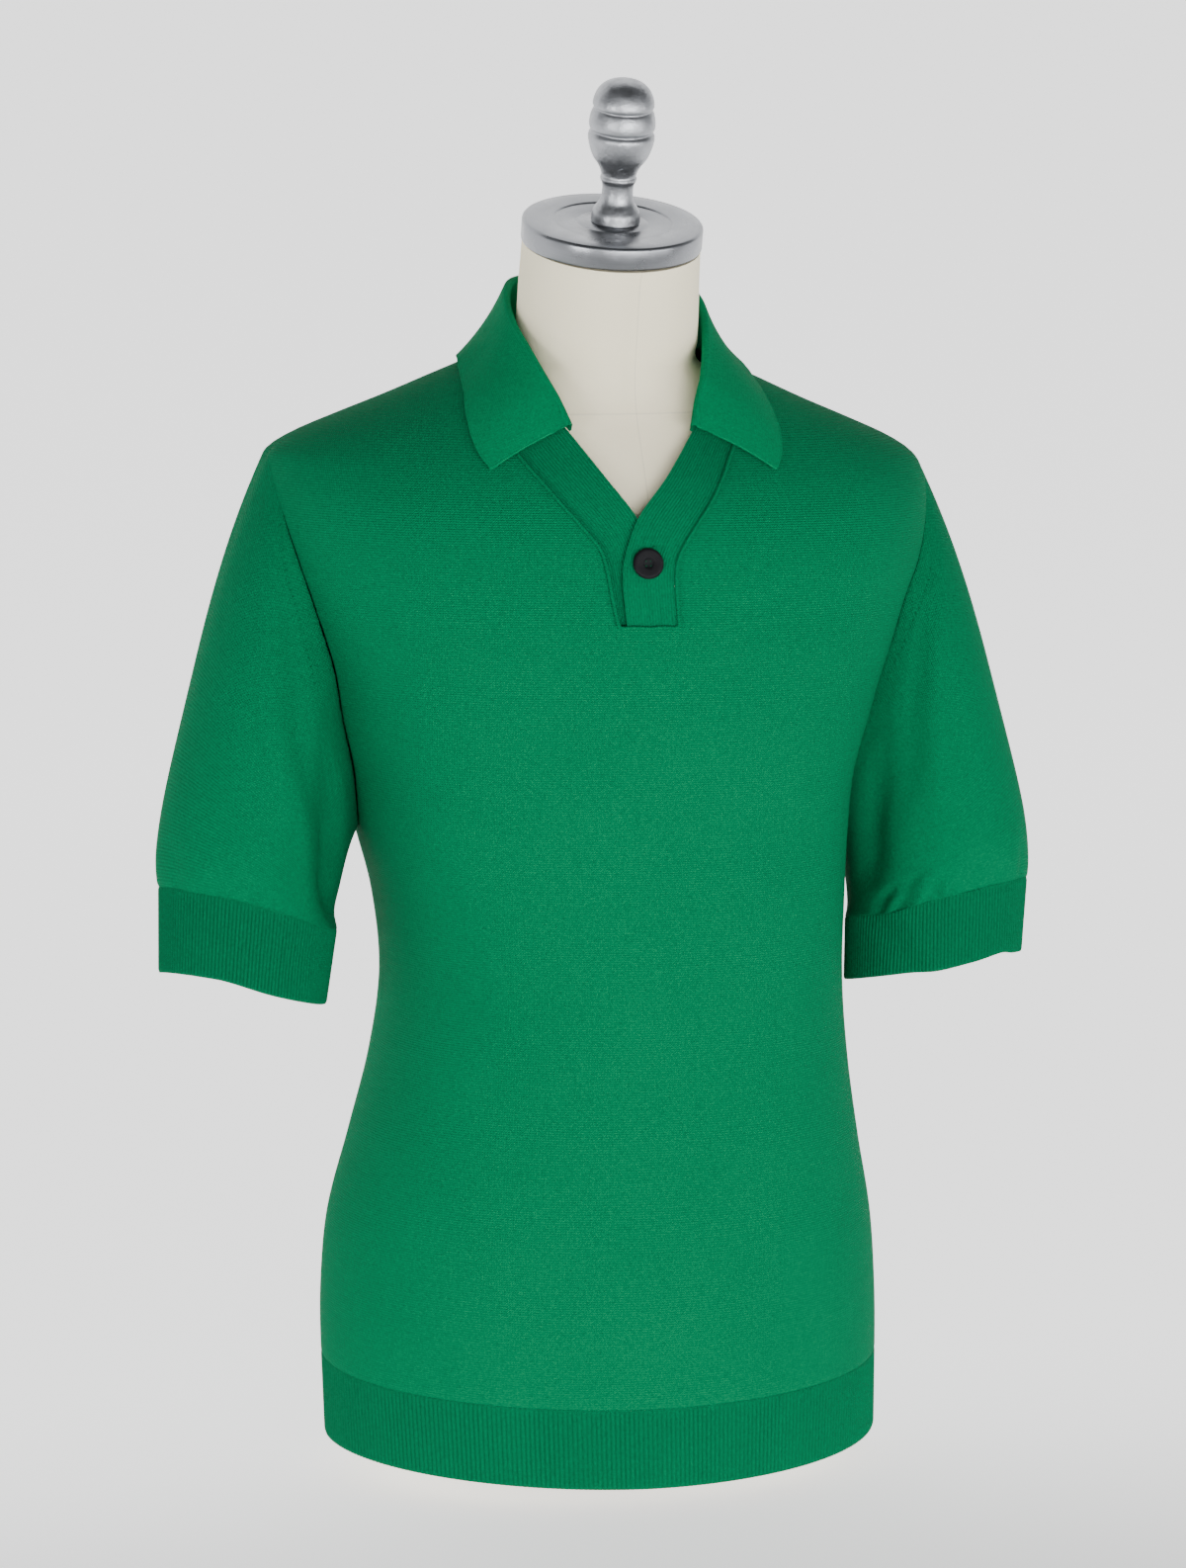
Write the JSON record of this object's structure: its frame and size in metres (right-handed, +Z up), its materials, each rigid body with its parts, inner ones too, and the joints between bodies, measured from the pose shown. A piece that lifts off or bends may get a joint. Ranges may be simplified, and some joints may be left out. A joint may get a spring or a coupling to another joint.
{
  "type": "knitted polo shirt on a dress form",
  "caption": "Short-sleeved fine-knit polo shirt with an open collar, a buttoned V neck and ribbed hem and cuffs, worn by a limbless dress form with a metal neck cap.",
  "frame": {"origin": "the middle of the dress form's foot, on the surface that it stands on", "axes": "+Z up, the shirt's front faces -Y, the wearer's left is +X"},
  "size_m": [0.5926, 0.2734, 0.9164],
  "materials": {
    "knit": "fine plain jersey knit, matt",
    "rib": "rib knit of the same yarn, matt",
    "form_linen": "cream linen stretched over the form",
    "cap_steel": "turned and brushed round its axis",
    "knob_metal": "cast and polished, worn",
    "button_horn": "near-black, satin, grained",
    "foot_wood": "oiled"
  },
  "bodies": {
    "root": {"form_foot": "foot_wood", "form_torso": "form_linen", "neck_cap": "cap_steel", "neck_knob": "knob_metal", "front": "knit", "back": "knit", "sleeve_right": "knit", "sleeve_left": "knit", "cuff_right": "rib", "cuff_left": "rib", "hem_rib": "rib", "collar": "rib", "band_under": "rib", "band_top": "rib", "button": "button_horn"}
  },
  "joints": []
}
